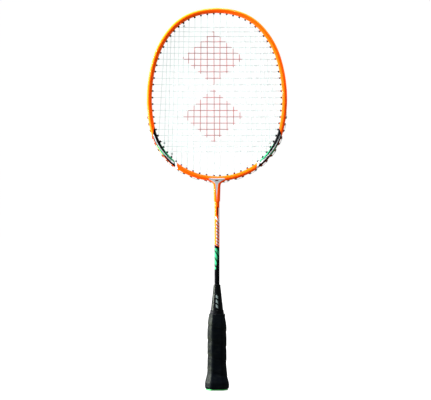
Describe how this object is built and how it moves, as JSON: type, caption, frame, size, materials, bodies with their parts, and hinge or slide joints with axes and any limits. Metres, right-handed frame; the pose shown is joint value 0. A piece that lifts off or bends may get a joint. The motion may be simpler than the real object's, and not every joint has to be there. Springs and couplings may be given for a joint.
{
  "type": "badminton racket",
  "caption": "Short badminton racket with an orange isometric head, woven string bed, steel shaft, black cone cap and wound grip with a flared butt.",
  "frame": {"origin": "centre of the butt's flat end", "axes": "+Z from the butt along the racket to the tip of the head, +X across the head in the plane of the strings, -Y out of the front of the string bed"},
  "size_m": [0.1969, 0.0316, 0.535],
  "materials": {
    "frame_paint": "gloss orange paint with black, green and silver bands",
    "joint_paint": "gloss orange moulding with a silver wedge",
    "shaft_paint": "gloss paint on steel, orange above and black below",
    "core_wood": "plain sanded softwood",
    "cone_plastic": "gloss black",
    "butt_plastic": "matt black",
    "plate_plastic": "gloss green",
    "grip_leather": "matt black synthetic leather, wound in a spiral",
    "tape_vinyl": "satin black vinyl tape",
    "pin_steel": "plain bright steel",
    "grommet_nylon": "satin black nylon",
    "string_nylon": "translucent white nylon with a red stencil"
  },
  "bodies": {
    "root": {"frame": "frame_paint", "t_joint": "joint_paint", "shaft": "shaft_paint", "handle_core": "core_wood", "cone_cap": "cone_plastic", "butt_cap": "butt_plastic", "end_plate": "plate_plastic", "grip_wrap": "grip_leather", "finishing_tape": "tape_vinyl", "shaft_pin": "pin_steel", "grip_staple": "pin_steel", "main_string": "string_nylon", "cross_string": "string_nylon", "grommets_top": "grommet_nylon", "grommets_throat": "grommet_nylon", "grommets_shoulder_left": "grommet_nylon", "grommets_shoulder_right": "grommet_nylon", "grommets_side_left": "grommet_nylon", "grommets_side_right": "grommet_nylon", "grommets_flank_left": "grommet_nylon", "grommets_flank_right": "grommet_nylon", "grommets_tie_left": "grommet_nylon", "grommets_tie_right": "grommet_nylon", "grommets_bottom_left": "grommet_nylon", "grommets_bottom_right": "grommet_nylon"}
  },
  "joints": []
}
